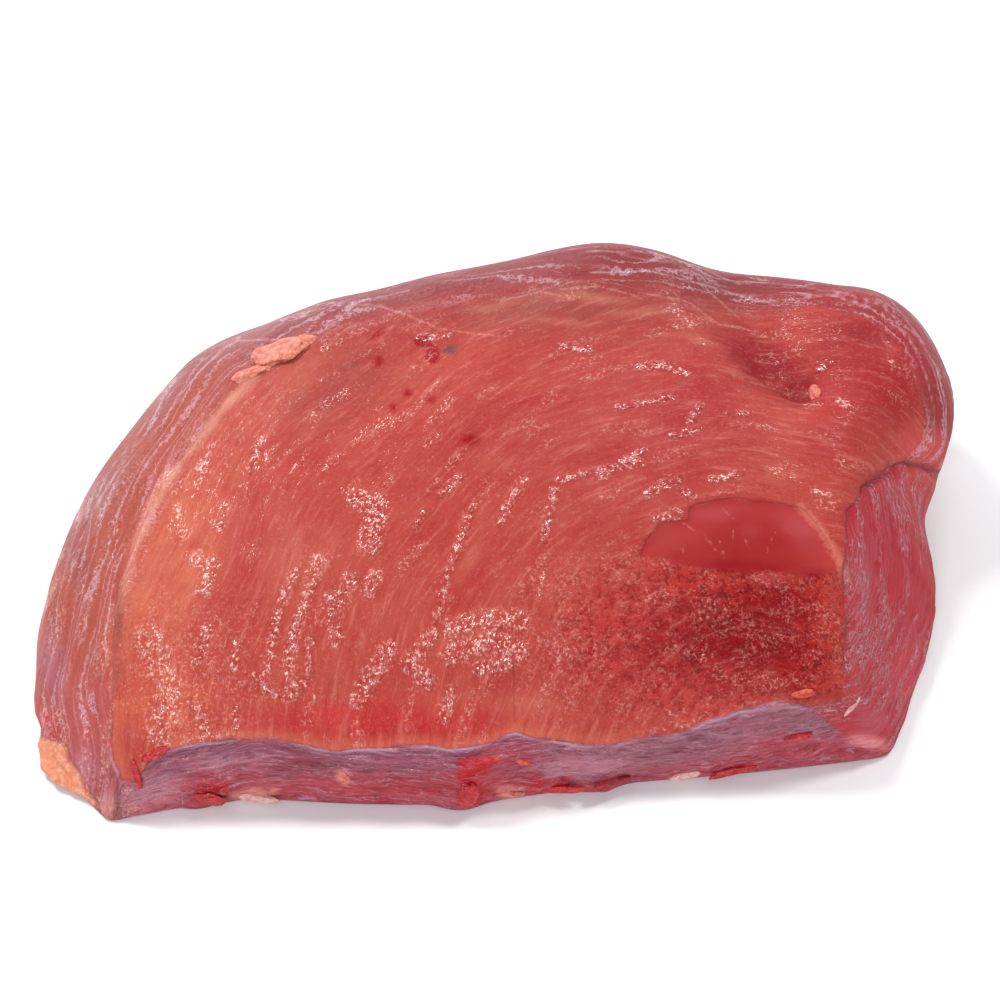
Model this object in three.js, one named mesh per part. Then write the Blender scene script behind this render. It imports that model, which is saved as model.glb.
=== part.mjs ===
// A raw pork topside: one trimmed, boneless leg muscle that lies on its flat cut side.
// It is a long low block. Its broad upper face climbs from a crisp front cut to a rounded back ridge.
// The left side is a long roll that runs down to a pointed front corner, and the right side is a slanting
// cut with a rounded lobe behind it. A flap of fat and torn tags of meat hang out along the lower edge.
// Millimetres. +X runs along the block, +Y from the front cut to the back, +Z up. The origin is the
// middle of the block's box, on the surface that it lies on.
import * as THREE from 'three';

// Driving dimensions: the box that the finished block fills.
const LENGTH = 245;
const DEPTH = 162;
const HEIGHT = 70;

// Mesh fineness: square rings of cells on the upper face, and bands over the edge and under the side.
const TOP_RINGS = 22;
const EDGE_BANDS = 8;
const SIDE_BANDS = 6;

// The outline is two edges that meet in sharp corners: the front cut, and the rest of the block, which
// runs on anticlockwise (seen from above) over the right flank, the lobe, the back and the left roll.
// Every station holds:
// x, y  the widest point there, as shares of half the length and half the depth
// belly  its height, below which the side turns under
// foot  how far the foot stands in from it
// run  how far in from it the upper edge is rounded over
// bulk  how square that rounding is: 1 is a straight bevel, 2 is round, and more is a crisp edge
const EDGES = {
  front: [
    { x: -0.82, y: -1.02, belly: 1, foot: 0.5, run: 5, bulk: 2 },
    { x: -0.735, y: -0.99, belly: 6, foot: 1, run: 5, bulk: 2.4 },
    { x: -0.56, y: -0.945, belly: 10, foot: 1.5, run: 5, bulk: 2.4 },
    { x: -0.28, y: -0.965, belly: 10, foot: 1.5, run: 5, bulk: 2.4 },
    { x: -0.05, y: -0.96, belly: 10, foot: 1.5, run: 5, bulk: 2.4 },
    { x: 0.22, y: -0.895, belly: 9, foot: 1.5, run: 5, bulk: 2.4 },
    { x: 0.5, y: -0.85, belly: 10, foot: 1.5, run: 5, bulk: 2.2 },
    { x: 0.7, y: -0.81, belly: 8, foot: 1.5, run: 5, bulk: 2 },
    { x: 0.84, y: -0.77, belly: 2, foot: 0.5, run: 5, bulk: 2 },
  ],
  round: [
    { x: 0.84, y: -0.77, belly: 2, foot: 0.5, run: 16, bulk: 1.3 },
    { x: 0.92, y: -0.48, belly: 5, foot: 2, run: 27, bulk: 1.2 },
    { x: 0.975, y: -0.16, belly: 8, foot: 3, run: 30, bulk: 1.3 },
    { x: 0.955, y: 0.06, belly: 16, foot: 5, run: 27, bulk: 1.6 },
    { x: 1.01, y: 0.24, belly: 36, foot: 10, run: 22, bulk: 2 },
    { x: 1.005, y: 0.48, belly: 37, foot: 11, run: 22, bulk: 2 },
    { x: 0.95, y: 0.69, belly: 36, foot: 11, run: 26, bulk: 2 },
    { x: 0.81, y: 0.82, belly: 32, foot: 11, run: 30, bulk: 2 },
    { x: 0.5, y: 0.91, belly: 28, foot: 10, run: 32, bulk: 2 },
    { x: 0.2, y: 0.98, belly: 28, foot: 10, run: 36, bulk: 2 },
    { x: -0.14, y: 0.905, belly: 25, foot: 9, run: 38, bulk: 2 },
    { x: -0.45, y: 0.79, belly: 22, foot: 8, run: 38, bulk: 2 },
    { x: -0.7, y: 0.63, belly: 18, foot: 7, run: 36, bulk: 1.9 },
    { x: -0.86, y: 0.34, belly: 15, foot: 7, run: 34, bulk: 1.8 },
    { x: -0.955, y: 0, belly: 14, foot: 7, run: 32, bulk: 1.8 },
    { x: -1.0, y: -0.42, belly: 12, foot: 6, run: 30, bulk: 1.8 },
    { x: -0.975, y: -0.7, belly: 8, foot: 4, run: 26, bulk: 1.8 },
    { x: -0.91, y: -0.88, belly: 4, foot: 2, run: 20, bulk: 1.8 },
    { x: -0.82, y: -1.02, belly: 1, foot: 0.5, run: 14, bulk: 1.8 },
  ],
};

// The upper face is a shallow dome, steeper towards the front cut: the place of its top, how high that is,
// and how fast it falls away with the square of the distance along and across the block.
const DOME = { x: 20, y: 50, z: 66, fallAlong: 0.0009, fallAcross: 0.00307 };

// Swellings (rise above 0) and hollows (below 0) of the upper face: place, half widths and turn in degrees.
const SWELLS = [
  { x: 31, y: 58, wide: 26, long: 20, turn: 0, rise: 7 },
  { x: 72, y: 38, wide: 13, long: 26, turn: 30, rise: -8 },
  { x: 82, y: 20, wide: 9, long: 8, turn: 0, rise: -4 },
  { x: 104, y: 34, wide: 17, long: 22, turn: 0, rise: 4 },
  { x: -85, y: -75, wide: 55, long: 60, turn: 0, rise: 13 },
  { x: 36, y: -75, wide: 24, long: 26, turn: 0, rise: -6 },
  { x: 82, y: -66, wide: 20, long: 28, turn: 0, rise: 5 },
  { x: 66, y: -36, wide: 20, long: 17, turn: 0, rise: -2.5 },
];

// Torn tags and the flap of fat, which hang out at the foot: the edge and the share of it where one is,
// its half width, how far it reaches out, and how thick it is.
const TAGS = [
  { edge: 'round', at: 0.952, half: 9, reach: 4.5, thick: 6 },
  { edge: 'round', at: 0.915, half: 8, reach: 2.5, thick: 8 },
  { edge: 'round', at: 0.87, half: 6, reach: 2.5, thick: 9 },
  { edge: 'front', at: 0.12, half: 5, reach: 3, thick: 7 },
  { edge: 'front', at: 0.45, half: 5, reach: 2.5, thick: 8 },
  { edge: 'front', at: 0.62, half: 6, reach: 2, thick: 6 },
];

// The front edge takes a quarter of each ring's points, as it is about a quarter of the way round.
const FRONT_SHARE = 0.25;
const SAMPLES = 240;
// How far an edge is run on straight past its corners, where distances from it are measured.
const RUN_ON = 60;

// A smooth value through an edge's stations, at u from 0 to 1 of its stations.
function along(edge, key, u) {
  const row = EDGES[edge];
  const at = Math.min(Math.max(u, 0), 1) * (row.length - 1);
  const i = Math.min(Math.floor(at), row.length - 2);
  const f = at - i;
  const value = (k) => row[Math.min(Math.max(k, 0), row.length - 1)][key];
  const tangentIn = (value(i + 1) - value(i - 1)) / 2;
  const tangentOut = (value(i + 2) - value(i)) / 2;
  const f2 = f * f;
  const f3 = f2 * f;
  return (2 * f3 - 3 * f2 + 1) * value(i) + (f3 - 2 * f2 + f) * tangentIn
    + (3 * f2 - 2 * f3) * value(i + 1) + (f3 - f2) * tangentOut;
}

const outlinePoint = (edge, u) => new THREE.Vector2(
  along(edge, 'x', u) * LENGTH / 2,
  along(edge, 'y', u) * DEPTH / 2,
);

// Each edge as a sampled line, with the length run so far at each sample.
const LINES = Object.fromEntries(Object.keys(EDGES).map((edge) => {
  const line = [];
  for (let i = 0; i <= SAMPLES; i += 1) {
    const p = outlinePoint(edge, i / SAMPLES);
    const length = i ? line[i - 1].length + p.distanceTo(line[i - 1].p) : 0;
    line.push({ u: i / SAMPLES, p, length });
  }
  return [edge, line];
}));

// The station share u at a share of the edge's length.
function atLength(edge, share) {
  const line = LINES[edge];
  const length = share * line[SAMPLES].length;
  const i = Math.max(1, line.findIndex((q) => q.length >= length - 1e-9));
  const [a, b] = [line[i - 1], line[i]];
  return a.u + (b.u - a.u) * (length - a.length) / (b.length - a.length);
}

// How far a plan point is from an edge, which runs on straight past its corners, and where along it.
function distanceTo(edge, point) {
  const line = LINES[edge];
  const best = { distance: Infinity, u: 0 };
  for (let i = 0; i < SAMPLES; i += 1) {
    const [a, b] = [line[i], line[i + 1]];
    const ab = b.p.clone().sub(a.p);
    const past = RUN_ON / ab.length();
    const raw = point.clone().sub(a.p).dot(ab) / ab.lengthSq();
    const f = Math.min(Math.max(raw, i === 0 ? -past : 0), i === SAMPLES - 1 ? 1 + past : 1);
    const distance = a.p.clone().addScaledVector(ab, f).distanceTo(point);
    if (distance < best.distance) {
      best.distance = distance;
      best.u = Math.min(Math.max(a.u + (b.u - a.u) * f, 0), 1);
    }
  }
  return best;
}

// The share of its full height that the upper face has reached between the rounded edges.
function lift(point) {
  return Object.keys(EDGES).reduce((share, edge) => {
    const { distance, u } = distanceTo(edge, point);
    const over = Math.min(distance / along(edge, 'run', u), 1);
    const bulk = along(edge, 'bulk', u);
    return share * (1 - (1 - over) ** bulk) ** (1 / bulk);
  }, 1);
}

// The upper face's full height over the plan, before its edges are rounded.
function fullHeight({ x, y }) {
  const dome = DOME.z - DOME.fallAlong * (x - DOME.x) ** 2 - DOME.fallAcross * (y - DOME.y) ** 2;
  return SWELLS.reduce((z, swell) => {
    const turn = THREE.MathUtils.degToRad(swell.turn);
    const u = (Math.cos(turn) * (x - swell.x) + Math.sin(turn) * (y - swell.y)) / swell.wide;
    const v = (Math.cos(turn) * (y - swell.y) - Math.sin(turn) * (x - swell.x)) / swell.long;
    return z + swell.rise * Math.exp(-u * u - v * v);
  }, dome);
}

// What the stations say at t, from 0 to 1 round the block from the pointed corner.
function place(t) {
  const onFront = t < FRONT_SHARE;
  const edge = onFront ? 'front' : 'round';
  const share = onFront ? t / FRONT_SHARE : (t - FRONT_SHARE) / (1 - FRONT_SHARE);
  const u = atLength(edge, share);
  const wide = outlinePoint(edge, u);
  return { edge, share, wide, belly: along(edge, 'belly', u), foot: along(edge, 'foot', u) };
}

// How wide the bands over the edge are at t: narrow over the crisp front edge and wide over the rolls.
const CRISP_BAND = 8;
const ROLL_BAND = 34;
function bandWidth(t) {
  const fromFront = Math.abs(t - FRONT_SHARE / 2);
  const away = Math.min(fromFront, 1 - fromFront) - FRONT_SHARE / 2;
  return CRISP_BAND + (ROLL_BAND - CRISP_BAND) * THREE.MathUtils.smoothstep(away, -0.02, 0.14);
}

// A point of the edge or the upper face, at a share of the way from the middle to the outline.
function upperPoint(t, share) {
  const { wide, belly } = place(t);
  const point = wide.multiplyScalar(share);
  const z = belly + (fullHeight(point) - belly) * lift(point);
  return new THREE.Vector3(point.x, point.y, z);
}

// How far the tags reach out at a share of an edge, at height z.
function tagReach(edge, share, z) {
  return TAGS.filter((tag) => tag.edge === edge).reduce((reach, tag) => {
    const off = (share - tag.at) * LINES[edge][SAMPLES].length / tag.half;
    const rise = z / tag.thick;
    return Math.max(reach, tag.reach * Math.exp(-(off ** 4)) * Math.exp(-(rise ** 4)));
  }, 0);
}

// A point of the side below the widest outline: part 0 is the foot and 1 is the outline.
function sidePoint(t, part) {
  const { edge, share, wide, belly, foot } = place(t);
  const angle = part * Math.PI / 2;
  const z = belly * (1 - Math.cos(angle));
  const inset = foot * (1 - Math.sin(angle)) - (part < 1 ? tagReach(edge, share, z) : 0);
  const point = wide.clone().setLength(wide.length() - inset);
  return new THREE.Vector3(point.x, point.y, z);
}

// The block's skin as nested rings of points: up the side, over the edge, and in across the upper face.
function blockGeometry() {
  const around = 8 * TOP_RINGS;
  const points = [];
  const faces = [];
  const addRing = (count, make) => {
    const start = points.length;
    for (let k = 0; k < count; k += 1) points.push(make(k / count));
    return start;
  };
  // A four-sided cell is split along its shorter diagonal, and a cell that has shrunk to a triangle is not.
  const gap = (i, j) => points[i].distanceTo(points[j]);
  const addCell = (a, b, c, d) => {
    if (c === d) faces.push([a, b, c]);
    else if (gap(a, c) < gap(b, d)) faces.push([a, b, c], [a, c, d]);
    else faces.push([a, b, d], [b, c, d]);
  };
  const edgeShare = (t, band) => 1 - bandWidth(t) * (band / EDGE_BANDS) ** 2 / place(t).wide.length();

  const starts = [];
  for (let band = 0; band <= SIDE_BANDS; band += 1) {
    starts.push(addRing(around, (t) => sidePoint(t, band / SIDE_BANDS)));
  }
  for (let band = 1; band <= EDGE_BANDS; band += 1) {
    starts.push(addRing(around, (t) => upperPoint(t, edgeShare(t, band))));
  }
  for (let r = 0; r + 1 < starts.length; r += 1) {
    for (let k = 0; k < around; k += 1) {
      const next = (k + 1) % around;
      addCell(starts[r] + k, starts[r] + next, starts[r + 1] + next, starts[r + 1] + k);
    }
  }

  // The upper face's rings are squares of cells, so that they shrink evenly towards the middle.
  let outer = starts[starts.length - 1];
  for (let m = TOP_RINGS - 1; m >= 0; m -= 1) {
    const side = 2 * m;
    const count = Math.max(1, 4 * side);
    const inner = addRing(count, (t) => upperPoint(t, edgeShare(t, EDGE_BANDS) * m / TOP_RINGS));
    const outerSide = side + 2;
    for (let k = 0; k < 4 * outerSide; k += 1) {
      const quarter = Math.floor(k / outerSide);
      const innerAt = (j) => inner + (quarter * side + Math.min(Math.max(j, 0), side)) % count;
      const j = k % outerSide;
      addCell(outer + k, outer + (k + 1) % (4 * outerSide), innerAt(j), innerAt(j - 1));
    }
    outer = inner;
  }

  // The flat base.
  const foot = points.slice(0, around).map((p) => new THREE.Vector2(p.x, p.y));
  THREE.ShapeUtils.triangulateShape(foot, []).forEach(([a, b, c]) => faces.push([a, c, b]));

  // Fitted to the driving box, with the middle of that box over the origin.
  const box = new THREE.Box3().setFromPoints(points);
  const size = box.getSize(new THREE.Vector3());
  const middle = box.getCenter(new THREE.Vector3()).setZ(0);
  const fit = new THREE.Vector3(LENGTH, DEPTH, HEIGHT).divide(size);
  const geometry = new THREE.BufferGeometry().setFromPoints(points.map((p) => p.sub(middle).multiply(fit)));
  geometry.setIndex(faces.flat());
  geometry.computeVertexNormals();
  return geometry;
}

const meat = new THREE.MeshStandardMaterial({ color: 0xc4504a, roughness: 0.35, metalness: 0 });
const topside = new THREE.Mesh(blockGeometry(), meat);
topside.name = 'topside';

const part = new THREE.Group();
part.add(topside);

export default part;
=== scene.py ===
# Raw pork topside: the looks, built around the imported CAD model.
import math
from types import SimpleNamespace
import bpy
import numpy as np
from mathutils import Matrix, Vector, noise
from mathutils.bvhtree import BVHTree


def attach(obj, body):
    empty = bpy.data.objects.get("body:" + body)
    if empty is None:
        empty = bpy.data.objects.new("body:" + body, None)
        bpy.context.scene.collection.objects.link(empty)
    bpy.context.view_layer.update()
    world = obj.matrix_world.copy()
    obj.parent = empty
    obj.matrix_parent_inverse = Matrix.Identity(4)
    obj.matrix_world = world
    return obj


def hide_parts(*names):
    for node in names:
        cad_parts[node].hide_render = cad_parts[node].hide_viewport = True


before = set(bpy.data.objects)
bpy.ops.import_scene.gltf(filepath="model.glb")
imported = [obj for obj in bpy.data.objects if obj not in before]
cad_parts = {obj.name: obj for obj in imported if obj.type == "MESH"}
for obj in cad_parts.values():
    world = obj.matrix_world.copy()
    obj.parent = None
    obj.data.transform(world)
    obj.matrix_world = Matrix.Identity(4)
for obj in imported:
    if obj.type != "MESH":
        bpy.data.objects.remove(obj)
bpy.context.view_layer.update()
mm = 0.001
print("frame loaded")

# The camera stands where the photograph was taken from. Places on the meat that are given in pixels
# are pixels of that picture.
view = {
    "target": (0.0, 1.6, 30.0),   # mm
    "distance": 740.0,            # mm
    "elevation": 50.0,            # degrees above the table
    "lens": 100.0,
    "sensor": 36.0,
    "picture": 1000.0,            # pixels across
}


def viewAxes():
    lift = math.radians(view["elevation"])
    back = np.array([0.0, -math.cos(lift), math.sin(lift)])
    up = np.array([0.0, math.sin(lift), math.cos(lift)])
    eye = np.array(view["target"]) + back * view["distance"]
    return eye, back, up


def addCamera():
    data = bpy.data.cameras.new("camera")
    data.lens = view["lens"]
    data.sensor_width = view["sensor"]
    data.clip_end = 20
    camera = bpy.data.objects.new("camera", data)
    camera.location = viewAxes()[0] * mm
    camera.rotation_euler = (math.radians(90 - view["elevation"]), 0, 0)
    bpy.context.scene.collection.objects.link(camera)
    bpy.context.scene.camera = camera


studio = {
    "floorSize": 6.0,
    "floorColour": (0.95, 0.95, 0.95, 1),
    "worldColour": (0.9, 0.94, 1.0, 1),
    "worldStrength": 0.36,
    # soft boxes: place (m), size (m), power (W), colour
    "boxes": {
        "backLeftBox": ((-0.55, 0.42, 1.1), 0.36, 10.5, (1.0, 0.97, 0.95)),
        "rightBox": ((0.62, 0.3, 1.05), 0.3, 6.0, (1.0, 0.97, 0.95)),
        "frontBox": ((-0.15, -1.05, 0.75), 0.6, 7.0, (0.93, 0.95, 1.0)),
        "rimBox": ((-0.5, 1.1, 0.42), 0.8, 5.0, (0.85, 0.9, 1.0)),
    },
}


def addStudio():
    bpy.ops.object.select_all(action="DESELECT")
    bpy.ops.mesh.primitive_plane_add(size=studio["floorSize"])
    floor = bpy.context.object
    floor.name = "floor"
    white = bpy.data.materials.new("paleFloor")
    white.use_nodes = True
    shader = white.node_tree.nodes["Principled BSDF"]
    shader.inputs["Base Color"].default_value = studio["floorColour"]
    shader.inputs["Roughness"].default_value = 0.9
    shader.inputs["Specular IOR Level"].default_value = 0.0
    floor.data.materials.append(white)
    world = bpy.data.worlds.new("world")
    bpy.context.scene.world = world
    world.use_nodes = True
    sky = world.node_tree.nodes["Background"]
    sky.inputs["Color"].default_value = studio["worldColour"]
    sky.inputs["Strength"].default_value = studio["worldStrength"]
    for name, (place, size, power, colour) in studio["boxes"].items():
        data = bpy.data.lights.new(name, "AREA")
        data.shape = "DISK"
        data.size = size
        data.energy = power
        data.color = colour
        box = bpy.data.objects.new(name, data)
        box.location = place
        box.rotation_euler = box.location.to_track_quat("Z", "Y").to_euler()
        bpy.context.scene.collection.objects.link(box)
    bpy.context.scene.view_settings.view_transform = "Standard"


addCamera()
addStudio()
print("camera, floor and lamps made")


# Painting and sculpting work on arrays, one row for each point of the mesh.
def smooth(low, high, x):
    t = np.clip((x - low) / (high - low), 0, 1)
    return t * t * (3 - 2 * t)


def shade(red, green, blue):
    c = np.array([red, green, blue]) / 255  # sRGB, as the linear colour that the nodes take
    return np.where(c < 0.04045, c / 12.92, ((c + 0.055) / 1.055) ** 2.4)


def lumps(points, size, seed=0.0):
    # noise from about -1 to 1, with lumps about size mm across
    return np.array([noise.noise(p) for p in (points / size + seed).tolist()]) * 1.6


def inPicture(points):
    eye, back, up = viewAxes()
    away = points - eye
    scale = view["lens"] / view["sensor"] * view["picture"] / -(away @ back)
    half = view["picture"] / 2
    return np.stack([half + away[:, 0] * scale, half - (away @ up) * scale], 1)


def fromLine(spots, line):
    line = np.array(line, float)
    best = np.full(len(spots), np.inf)
    for a, b in zip(line, line[1:]):
        share = np.clip((spots - a) @ (b - a) / ((b - a) @ (b - a)), 0, 1)
        best = np.minimum(best, np.linalg.norm(spots - a - share[:, None] * (b - a), axis=1))
    return best


def depthInside(spots, outline):
    # distance from a closed outline, above 0 inside it
    x, y = spots[:, 0], spots[:, 1]
    odd = np.zeros(len(spots), bool)
    for (x0, y0), (x1, y1) in zip(outline, outline[1:] + outline[:1]):
        if y0 != y1:
            odd ^= ((y0 > y) != (y1 > y)) & (x < (x1 - x0) * (y - y0) / (y1 - y0) + x0)
    d = fromLine(spots, outline + outline[:1])
    return np.where(odd, d, -d)


def patch(spots, place):
    # 1 in the middle of an ellipse, 0 at its edge
    x, y, across, up, turn = place
    c, s = math.cos(math.radians(turn)), math.sin(math.radians(turn))
    dx, dy = spots[:, 0] - x, spots[:, 1] - y
    return smooth(1, 0, np.hypot((dx * c - dy * s) / across, (dx * s + dy * c) / up))


def meshArray(mesh, field):
    values = np.zeros(len(mesh.vertices) * 3)
    mesh.vertices.foreach_get(field, values)
    return values.reshape(-1, 3)


def addAttribute(mesh, name, kind, columns):
    field = {"FLOAT_VECTOR": "vector", "FLOAT_COLOR": "color"}[kind]
    values = np.stack(columns, 1).astype(np.float32).ravel()
    mesh.attributes.new(name, kind, "POINT").data.foreach_set(field, values)


# The block: the CAD's own mesh, with even cells a millimetre across.
def copyBlock():
    bpy.ops.object.select_all(action="DESELECT")
    meat = bpy.data.objects.new("meat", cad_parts["topside"].data.copy())
    meat.data.materials.clear()
    bpy.context.scene.collection.objects.link(meat)
    meat.select_set(True)
    bpy.context.view_layer.objects.active = meat
    bpy.ops.object.mode_set(mode="EDIT")
    bpy.ops.mesh.select_mode(type="FACE")
    bpy.ops.mesh.select_all(action="SELECT")
    bpy.ops.mesh.remove_doubles(threshold=0.01 * mm)
    bpy.ops.mesh.tris_convert_to_quads(face_threshold=math.pi, shape_threshold=math.pi)
    bpy.ops.mesh.select_all(action="DESELECT")
    bpy.ops.object.mode_set(mode="OBJECT")
    for face in meat.data.polygons:
        face.select = face.normal.z < -0.99 and face.center.z < 0.1 * mm
    bpy.ops.object.mode_set(mode="EDIT")
    bpy.ops.mesh.dissolve_faces()  # the flat base becomes one face
    bpy.ops.object.mode_set(mode="OBJECT")
    finer = meat.modifiers.new("finer", "SUBSURF")
    finer.levels = finer.render_levels = 2
    finer.use_limit_surface = False
    bpy.ops.object.modifier_apply(modifier="finer")
    bpy.ops.object.shade_smooth()
    return meat


# outlines on the meat, in pixels of the picture
outlines = {
    "face": [(122, 778), (112, 745), (112, 720), (118, 650), (130, 580), (146, 530), (172, 482), (208, 425),
             (245, 382), (300, 345), (345, 322), (400, 312), (450, 302), (520, 288), (600, 280), (660, 286),
             (705, 302), (760, 308), (820, 306), (868, 318), (900, 345), (916, 376), (923, 410), (921, 440),
             (905, 460), (865, 486), (846, 510), (842, 575), (845, 640), (840, 702), (809, 707), (781, 701),
             (762, 704), (736, 711), (717, 718), (698, 725), (673, 734), (644, 738), (619, 743), (588, 744),
             (560, 740), (528, 735), (515, 732), (497, 739), (478, 745), (449, 748), (427, 744), (402, 745),
             (383, 748), (357, 748), (332, 750), (306, 745), (275, 740), (243, 738), (212, 740), (188, 745),
             (164, 751), (150, 761), (138, 780)],
    "rightFlank": [(846, 510), (865, 486), (905, 462), (960, 480), (960, 640), (905, 760), (890, 757),
                   (863, 743), (847, 737), (825, 718), (809, 708), (840, 702), (845, 640), (842, 575)],
    "flap": [(28, 748), (44, 738), (60, 744), (72, 768), (84, 792), (98, 812), (84, 830), (28, 800)],
    "window": [(640, 556), (645, 540), (660, 522), (688, 520), (690, 507), (715, 499), (740, 498),
               (770, 502), (803, 506), (822, 530), (838, 560), (845, 580), (846, 640), (838, 700),
               (780, 690), (700, 660), (660, 620)],
    "facet": [(640, 556), (645, 540), (660, 522), (688, 520), (690, 507), (715, 499), (740, 498),
              (770, 502), (803, 506), (822, 530), (838, 560), (835, 572), (800, 577), (770, 570),
              (740, 574), (690, 566), (665, 558)],
    "orange": [(645, 560), (665, 556), (692, 566), (740, 572), (770, 578), (775, 600), (735, 612),
               (700, 602), (668, 590)],
    "rawEdge": [(780, 580), (838, 562), (846, 600), (845, 650), (840, 700), (808, 701), (788, 695),
                (780, 670), (795, 640), (800, 610)],
    "tagRed": [(456, 762), (466, 756), (480, 758), (496, 761), (488, 768), (481, 778), (478, 803),
               (462, 803), (457, 786)],
    "hemShred": [(524, 774), (538, 775), (552, 782), (570, 778), (569, 790), (548, 796), (528, 797)],
    "hemDark": [(588, 779), (604, 776), (618, 776), (634, 782), (622, 791), (606, 790)],
    "hemRedThree": [(712, 771), (730, 767), (753, 765), (750, 775), (732, 781), (716, 780)],
    "hemRed": [(194, 788), (205, 780), (222, 780), (231, 790), (218, 803), (207, 812), (198, 800)],
    "hemFat": [(230, 793), (250, 789), (278, 790), (270, 800), (240, 803)],
    "hemPale": [(496, 790), (522, 787), (525, 797), (500, 800)],
    "hemWhite": [(670, 777), (688, 773), (700, 775), (690, 784), (672, 785)],
    "bandChip": [(337, 773), (347, 768), (349, 780), (342, 785)],
}
# raised marks on the front, each inside its own outline; height in mm
marks = {
    "tagRed": {"colour": "markRed", "height": 0.9},
    "hemShred": {"colour": "markRed", "height": 0.7},
    "hemDark": {"colour": "markDark", "height": 0.5},
    "hemRedThree": {"colour": "markRed", "height": 0.5},
    "hemRed": {"colour": "markRed", "height": 0.8},
    "hemFat": {"colour": "markPale", "height": 0.5},
    "hemPale": {"colour": "markPale", "height": 0.4},
    "hemWhite": {"colour": "markPale", "height": 0.4},
    "bandChip": {"colour": "markPale", "height": 0.3},
}
# ellipses in the picture: x, y, half width, half height, turn anticlockwise
ellipses = {
    "grainy": (690, 640, 215, 130, -5),      # the torn lean
    "manyStrands": (862, 605, 26, 100, 0),   # of the film on the right flank
    "fewStrands": (922, 580, 36, 90, 0),
    "flankFoot": (925, 680, 50, 90, -10),
    "dry": (700, 400, 120, 80, 0),
    "damp": (190, 670, 120, 110, 0),
}
# from none to all of something, in pixels down or across the picture
spans = {
    "fadeDown": (730, 640),      # the soft edge of the upper face
    "fadeAcross": (830, 760),
    "frontDown": (660, 700),     # the front
    "lowDown": (560, 640),       # where the skin's lines don't follow the upper edge
    "lowAcross": (112, 124),
    "fasciaTop": (310, 380),     # the strip of gristle
    "fasciaFoot": (650, 560),
    "glowDown": (690, 705),      # the light edge at the lower left
    "glowAcross": (680, 600),
    "dampDown": (420, 520),      # the wet left side
    "dampAcross": (300, 150),
}
pit = {
    "middle": (801, 392),        # pixels
    "half": (22, 15),            # pixels
    "deep": 1.1,                 # mm
}
# the upper edge of the window
step = [(641, 552), (645, 540), (660, 522), (688, 520), (690, 507), (715, 499), (740, 498), (770, 502),
        (803, 506), (822, 530), (838, 560), (844, 580)]
# where the skin begins, from the front corner round the back to the lobe at the right
skinEdge = [(112, 824), (118, 785), (114, 745), (112, 690), (118, 650), (130, 580), (146, 530), (172, 482),
            (208, 425), (245, 382), (300, 345), (345, 322), (400, 312), (450, 302), (520, 288), (600, 280),
            (660, 286), (705, 302), (760, 308), (820, 306), (868, 318), (900, 345), (916, 376), (923, 410),
            (921, 440), (905, 460)]
perMm = 3.73  # pixels to a millimetre of the meat
fibreCentre = np.array([66.0, -78.0, 20.0])  # mm: the fibres of the upper face are arcs about this point
skinHeight = 34.0                            # mm: what the skin's lines count as the height of every side
outside = -30.0                              # mm: far outside an outline, for what the camera doesn't see


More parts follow.
